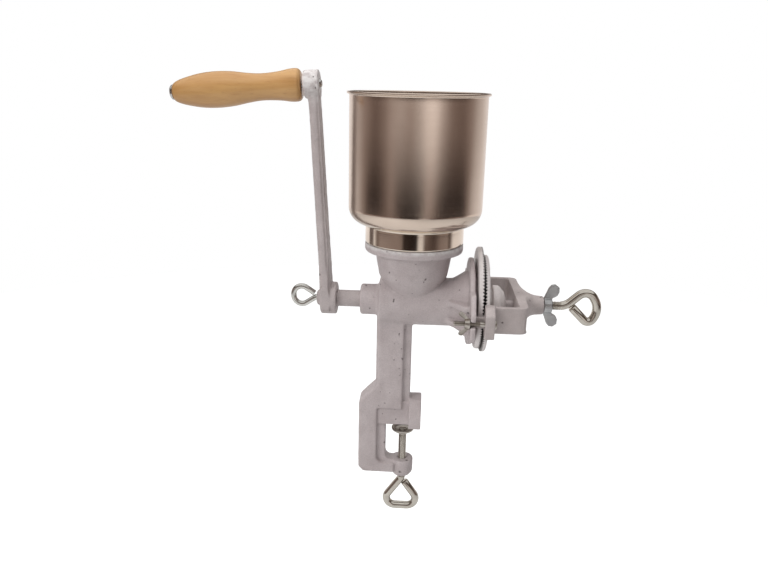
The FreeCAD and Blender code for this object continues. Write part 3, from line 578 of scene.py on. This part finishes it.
def hopper():
    """Drawn hopper: from the spigot up the outside, over the rolled rim and down the inside."""
    bead = [(RIM_Z + BEAD_R * math.sin(a), RIM_R - BEAD_R + BEAD_R * math.cos(a))
            for a in np.radians(np.linspace(-100.0, 200.0, 18))]
    outside = [
        (SPIGOT_Z, SPIGOT_R), (LIP_Z - 0.8, SPIGOT_R), (LIP_Z, SPIGOT_R + 0.8), (LIP_Z, NECK_R - 1.2),
        (LIP_Z + 0.4, NECK_R - 0.4), (LIP_Z + 1.2, NECK_R), (LIP_Z + 1.6, NECK_R), (LIP_Z + 6.0, NECK_R),
        (SHOULDER_Z - 4.0, NECK_R)]
    outside += rounded([
        (SHOULDER_Z - 4.0, NECK_R), (SHOULDER_Z, NECK_R, 2.0), (SHOULDER_Z, WALL_R, 17.0),
        (RIM_Z - 12.0, WALL_R)], closed=False, steps=12)[1:-1]
    outside += [(SHOULDER_Z + up, WALL_R) for up in (18.0, 30.0)]
    outside += [(RIM_Z - down, WALL_R) for down in (30.0, 8.0, 3.0)]
    outside += [(RIM_Z - 2.1, WALL_R + 0.1), (RIM_Z - 1.7, WALL_R + 0.4)]
    wall, neck, spigot = (r - SHEET for r in (WALL_R, NECK_R, SPIGOT_R))
    inside = rounded([
        (RIM_Z - 0.6, wall), (SHOULDER_Z + SHEET, wall, 16.0), (SHOULDER_Z + SHEET, neck, 1.2),
        (LIP_Z + SHEET, neck), (LIP_Z + SHEET, spigot), (SPIGOT_Z, spigot)], closed=False, steps=10)
    inside.insert(1, (RIM_Z - 4.0, wall))
    return turned("hopper", outside + bead + inside, (THROAT_X, 0.0, 0.0), Z_WAY, sides=144, loop=True)


piece("hopper", hopper(), HOPPER, sharp=50)


# Burrs

TOOTH_COUNT = 96
TOOTH_DEEP = 1.8
TOOTH_RADII = (40.6, 44.0, 48.0)
FURROW_COUNT = 16.0
FURROW_DEEP = 1.7
FURROW_RADII = (31.0, 34.0, 37.5, 39.6)
BURR_SIDES = TOOTH_COUNT * 6
FACE_STRIPS = 10
FIXED_BACK = 73.4
FIXED_EYE_R = 25.5
SHAFT_HOLE_R = 9.1
PINTLE_HOLE_R = 4.1


def burr(rim_r, rim_z, eye_r, tip, face_way, back, tail, shift=0.0):
    """Grinding disc with fine radial teeth on its rim and coarse furrows inside them."""
    t = np.linspace(0.0, 2.0 * math.pi, BURR_SIDES, endpoint=False)
    saw = np.abs(2.0 * np.mod(t * TOOTH_COUNT / (2.0 * math.pi) + shift, 1.0) - 1.0)
    furrow = np.abs(2.0 * np.mod(t * FURROW_COUNT / (2.0 * math.pi), 1.0) - 1.0)
    rows = []

    def ring(x, r, z=AXIS_Z):
        rows.append(np.stack([np.broadcast_to(x, t.shape), r * np.sin(t), z + r * np.cos(t)], 1) * MM)

    def centre(r):
        share = (r - eye_r) / (rim_r - eye_r)
        return AXIS_Z + (rim_z - AXIS_Z) * share

    for r in (eye_r, eye_r + 1.5, *FURROW_RADII):
        deep = 0.0 if r == eye_r else FURROW_DEEP
        ring(tip - face_way * (0.25 + deep * np.clip(1.6 * furrow - 0.5, 0.0, 1.0)), r, centre(r))
    for r in (*TOOTH_RADII, rim_r - 0.4):
        ring(tip - face_way * (0.02 + TOOTH_DEEP * saw), r, centre(r))
    ring(tip - face_way * (0.12 + TOOTH_DEEP * saw), rim_r - 0.2, rim_z)
    ring(tip - face_way * 2.4, rim_r - 0.2, rim_z)
    ring(back + face_way * 1.2, rim_r - 0.2, rim_z)
    ring(back, rim_r - 1.4, rim_z)
    for x, r in tail:
        ring(x, r)
    return grid_mesh("burr", [(rows, True)])


def paint_gap_shade(o):
    """Painted shade in the narrow gap between the burrs: the first strips of the disc take the second, near-black
    material.
    """
    o.data.materials.append(BURR_GAP_SHADE)
    index = np.zeros(len(o.data.polygons), np.int32)
    index[:FACE_STRIPS * BURR_SIDES] = 1
    o.data.polygons.foreach_set("material_index", index)


def dome():
    """Back of the turning burr: a neck, the dome and the stepped hole for the shaft."""
    foot = TURN_BACK + 6.45
    face = DOME_X - 0.1
    step = DOME_X - 6.0
    line = [(TURN_BACK, 24.0), (TURN_BACK, 17.0), (TURN_BACK + 0.8, 15.2), (TURN_BACK + 6.0, 14.8)]
    line += rounded([
        (foot, 15.3), (foot, 19.8, 1.6), (TURN_BACK + 13.0, 19.8, 5.0), (TURN_BACK + 18.5, 13.5, 5.0),
        (face, 8.0, 1.0), (face, PINTLE_HOLE_R)], closed=False, steps=6)
    return line + [(step, PINTLE_HOLE_R), (step, SHAFT_HOLE_R), (80.6, SHAFT_HOLE_R)]


fixed = burr(rim_r=55.0, rim_z=151.0, eye_r=FIXED_EYE_R, tip=78.9, face_way=1.0, back=FIXED_BACK,
             tail=[(FIXED_BACK, FIXED_EYE_R)])
paint_gap_shade(piece("stationary_burr", fixed, IRON, sharp=45))
turning = burr(rim_r=52.3, rim_z=AXIS_Z, eye_r=SHAFT_HOLE_R, tip=80.3, face_way=-1.0, back=TURN_BACK,
               tail=dome(), shift=0.5)
paint_gap_shade(piece("rotating_burr", turning, IRON, sharp=45))


# Grip and its pin, along the joint's own axis

grip_joint = next(j for j in frame["joints"] if j["name"] == "grip_spin")
GRIP_AXIS = Vector(grip_joint["axis"])
GRIP_ORIGIN = np.array(grip_joint["pos_m"]) * 1000.0
GRIP_START = 12.5
GRIP_L = 130.0
GRIP_END = GRIP_START + GRIP_L
GRIP_BORE_R = 3.3
GRIP_LINE = [
    (0.0, 13.2), (2.2, 15.6), (6.0, 16.3), (12.0, 15.9), (21.5, 14.35), (34.0, 13.35), (44.0, 13.4),
    (56.0, 14.8), (68.0, 16.75), (80.0, 17.75), (92.0, 17.75), (103.0, 16.7), (113.0, 14.8),
    (122.0, 12.5), (127.5, 10.4), (GRIP_L, 8.8)]
PIN_R = 3.0
PIN_TAIL = [(-8.8, 0.0), (-8.7, 1.6), (-8.2, 2.9), (-7.2, 4.3), (-6.2, 4.9), (-6.05, PIN_R)]
PIN_CAP = [
    (0.5, PIN_R), (0.5, 7.2), (1.1, 7.7), (2.6, 7.4), (3.9, 6.0), (4.6, 3.8), (4.95, 1.6), (5.05, 0.0)]
CAP_START = GRIP_END + 0.15

outer = curve([(GRIP_START + a, r) for a, r in GRIP_LINE], steps=5)
bore = [(GRIP_END, GRIP_BORE_R), (GRIP_START, GRIP_BORE_R)]
grip = turned("grip", outer + bore, GRIP_ORIGIN, GRIP_AXIS, sides=72, loop=True)
piece("handle_grip", grip, WOOD, sharp=45)
pin = PIN_TAIL + [(CAP_START + a, r) for a, r in PIN_CAP]
piece("handle_pin", turned("pin", pin, GRIP_ORIGIN, GRIP_AXIS, sides=40), STEEL, sharp=40)


# Eye screws: points of the bent wire as (along, across, bend radius)

ADJUST_WIRE = [
    (121.9, 0.0), (170.5, 0.0, 18.0), (193.0, 20.9, 10.3), (207.4, -2.4, 20.0), (196.6, -20.3, 5.8),
    (177.3, -1.0)]
CLAMP_WIRE = [(0.0, -13.65), (0.0, -73.0, 9.0), (-26.2, -110.3, 10.0), (26.2, -110.3, 10.0), (3.45, -77.9)]
CLAMP_HEAD = [(-8.85, 0.0), (-8.85, 3.4), (-9.3, 4.4), (-9.95, 4.5), (-10.0, 3.0), (-13.6, 3.0)]
LOCK_WIRE = [(-67.7, 0.0), (-99.5, 0.0, 3.1), (-122.0, -15.0, 9.0), (-125.0, 20.5, 9.0), (-100.4, 4.6)]

adjust = bent_screw(ADJUST_WIRE, r=4.75, thread=(1.0, 44.0), lift=AXIS_Z)
piece("adjusting_screw", grid_mesh("adjust", [(adjust, False)]), ZINC_X, sharp=60)
head = rings(CLAMP_HEAD, ORIGIN, Z_WAY, sides=28)
clamp = bent_screw(CLAMP_WIRE, r=4.5, thread=(1.0, 58.0), lift=0.0)
piece("clamp_screw", grid_mesh("clamp", [(head, False), (clamp, False)]), ZINC_X, sharp=60)
lock = bent_screw(LOCK_WIRE, r=3.1, thread=(0.5, 26.0), lift=AXIS_Z, sides=24, pitch=1.0, depth=0.45)
piece("crank_screw", grid_mesh("lock", [(lock, False)]), BRIGHT, sharp=60)


# Nuts and bolts

BOLT_LINE = [(48.5, 0.0), (89.3, 0.0)]
BOLT_CAP = [(89.32, 0.0), (89.32, 4.9), (89.8, 5.1), (90.6, 4.8), (91.3, 3.7), (91.6, 2.0), (91.68, 0.0)]
PAD_LINE = [
    (-13.5, 3.1), (-13.5, 7.0, 2.0), (-9.6, 12.8, 2.5), (-7.5, 12.8, 0.6), (-7.5, 11.0, 0.6),
    (-10.1, 8.2, 2.0), (-10.1, 3.1)]

piece("lock_wing_nut", cast_copy("lock_wing_nut", voxel=0.45, rounds=8, waves=()), ZINC_DULL)
for name, side in (("near", -1.0), ("far", 1.0)):
    piece("wing_nut_" + name, cast_copy("wing_nut_" + name, voxel=0.4, rounds=6, waves=()), ZINC_GOLD)
    place = (0.0, side * BOLT_Y, BOLT_Z)
    shank = bent_screw(BOLT_LINE, r=2.6, thread=(0.3, 27.0), lift=0.0, sides=20, pitch=0.9, depth=0.4)
    shank = [np.array(row) + np.array(place) * MM for row in shank]
    cap = rings(BOLT_CAP, place, X_WAY, sides=32)
    piece("yoke_bolt_" + name, grid_mesh("bolt", [(shank, False), (cap, False)]), ZINC_GOLD, sharp=50)
cup = turned("cup", rounded(PAD_LINE, closed=True, steps=6), ORIGIN, Z_WAY, sides=48, loop=True)
piece("clamp_pad", cup, ZINC_GOLD, sharp=45)

for node in ("burr_dowel_top", "burr_dowel_near", "burr_dowel_far", "drive_pin", "thrust_ball"):
    mesh = frame["nodes"][node].data
    mesh.materials.clear()
    mesh.materials.append(STEEL)


# Floor and light

WHITE = (1.0, 1.0, 1.0)
AMBIENT = (0.44, 0.44, 0.44)
DARK_CEILING = (0.11, 0.085, 0.07)

# Places and sizes of the studio, in metres
FLOOR_Z = -0.40
FLOOR_R = 2.2
MILL_MID = (0.0, 0.0, 0.15)

# Studio panels that metal reflects: degrees round the mill from the camera's side, and brightness.
# Each row comes in between two values of the reflected ray's upward part, named below as its slope.
LEVEL_PANELS = (
    (-180, 1.2), (-138, 1.05), (-115, 0.6), (-93, 0.33), (-72, 0.17), (-56, 0.28), (-41, 0.53),
    (-27, 0.58), (-11, 0.42), (3, 0.62), (17, 1.1), (27, 1.1), (43, 0.48), (57, 0.24), (79, 0.19),
    (95, 0.31), (121, 0.68), (144, 0.95), (180, 1.2))
LOW_PANELS = (
    (-180, 1.2), (-138, 1.1), (-115, 0.7), (-98, 0.3), (-85, 0.02), (-63, 0.0), (-51, 0.13), (-40, 0.34),
    (-31, 0.05), (-22, 0.0), (7, 0.0), (13, 0.06), (19, 0.36), (26, 0.36), (36, 0.08), (45, 0.0),
    (88, 0.0), (98, 0.26), (112, 0.7), (134, 0.9), (180, 1.2))
NECK_PANELS = (
    (-180, 1.0), (-108, 0.95), (-94, 0.2), (-84, 0.36), (-30, 0.30), (-22, 0.04), (6, 0.02), (12, 0.9),
    (18, 0.9), (26, 0.16), (46, 0.1), (68, 0.3), (82, 0.34), (90, 0.12), (104, 0.95), (180, 1.0))
LOW_SLOPE = (-0.065, -0.175)
NECK_SLOPE = (-0.2, -0.215)
CEILING_SLOPE = (0.1, 0.3)
TOP_SLOPE = (0.5, 0.62)


def pale_floor(tree, out):
    """Pale floor that reads as the white background and still takes the shadow."""
    out.inputs["Base Color"].default_value = (0.82, 0.82, 0.82, 1.0)
    out.inputs["Roughness"].default_value = 0.9
    ray = add(tree, "ShaderNodeLightPath").outputs
    seen = maths(tree, "MULTIPLY", ray["Is Camera Ray"], 0.65)
    glow = maths(tree, "MULTIPLY_ADD", ray["Is Glossy Ray"], 0.2, seen)
    out.inputs["Emission Color"].default_value = (*WHITE, 1.0)
    tree.links.new(glow, out.inputs["Emission Strength"])


def studio_floor():
    """Round floor below the mill."""
    bpy.ops.mesh.primitive_circle_add(
        vertices=96, radius=FLOOR_R, fill_type="NGON", location=(0.0, 0.0, FLOOR_Z))
    floor = bpy.context.object
    floor.name = "studio_floor"
    floor.data.materials.append(material("studio_floor", pale_floor))


def studio_world():
    """White surroundings; metal sees dark and bright studio panels round the mill."""
    world = bpy.data.worlds.new("studio")
    scene.world = world
    world.use_nodes = True
    tree = world.node_tree
    tree.nodes.clear()
    way = add(tree, "ShaderNodeTexCoord").outputs["Generated"]
    axes = add(tree, "ShaderNodeSeparateXYZ", Vector=way).outputs
    turn = maths(tree, "ARCTAN2", axes["X"], maths(tree, "MULTIPLY", axes["Y"], -1.0))
    share = span(tree, turn, -math.pi, math.pi)

    def panels(stops):
        """Bright and dark bands round the mill; the dark ones are warmer."""
        row = []
        for degrees, v in stops:
            f = min(1.0, v / 0.7)
            colour = (v, v * (0.67 + 0.28 * f), v * (0.56 + 0.37 * f))
            row.append(((degrees + 180.0) / 360.0, colour))
        return ramp(tree, share, row, "EASE")

    seen = panels(LEVEL_PANELS)
    for slope, colour in (
            (LOW_SLOPE, panels(LOW_PANELS)), (NECK_SLOPE, panels(NECK_PANELS)),
            (CEILING_SLOPE, DARK_CEILING), (TOP_SLOPE, WHITE)):
        seen = mix(tree, span(tree, axes["Z"], *slope), seen, colour)
    ray = add(tree, "ShaderNodeLightPath").outputs
    shine = mix(tree, ray["Is Glossy Ray"], AMBIENT, seen)
    clear = maths(tree, "MAXIMUM", ray["Is Camera Ray"], ray["Is Transmission Ray"])
    sky = add(tree, "ShaderNodeBackground", Color=mix(tree, clear, shine, WHITE), Strength=1.0)
    out = add(tree, "ShaderNodeOutputWorld")
    tree.links.new(sky.outputs[0], out.inputs["Surface"])


def softbox(name, place, size, energy):
    """Square soft lamp that shines at the middle of the mill."""
    lamp = bpy.data.lights.new(name, "AREA")
    lamp.shape = "RECTANGLE"
    lamp.size = size
    lamp.size_y = size
    lamp.energy = energy
    o = bpy.data.objects.new(name, lamp)
    o.location = place
    o.rotation_euler = (Vector(MILL_MID) - Vector(place)).to_track_quat("-Z", "Y").to_euler()
    o.visible_glossy = False
    scene.collection.objects.link(o)


studio_floor()
studio_world()
softbox("top_light", place=(-0.1, -0.2, 1.5), size=1.3, energy=13.0)
softbox("key_light", place=(-1.3, -1.4, 0.85), size=0.9, energy=12.5)


# Camera

def camera():
    """Camera at the photograph's place and angle."""
    yaw, pitch, roll = (math.radians(a) for a in (CAM_YAW, CAM_PITCH, CAM_ROLL))
    ahead = Vector((math.sin(yaw) * math.cos(pitch), math.cos(yaw) * math.cos(pitch), -math.sin(pitch)))
    level = Vector((math.cos(yaw), -math.sin(yaw), 0.0))
    rise = level.cross(ahead)
    c, s = math.cos(roll), math.sin(roll)
    right = c * level + s * rise
    up = c * rise - s * level
    data = bpy.data.cameras.new("camera")
    data.sensor_width = SENSOR
    data.lens = CAM_FOCAL * SENSOR / IMAGE_W
    data.clip_start = 0.01
    o = bpy.data.objects.new("camera", data)
    turn = Matrix((right, up, -ahead)).transposed().to_4x4()
    o.matrix_world = Matrix.Translation(Vector(CAM_POS) * MM) @ turn
    scene.collection.objects.link(o)
    scene.camera = o


camera()
scene.view_settings.view_transform = "Standard"
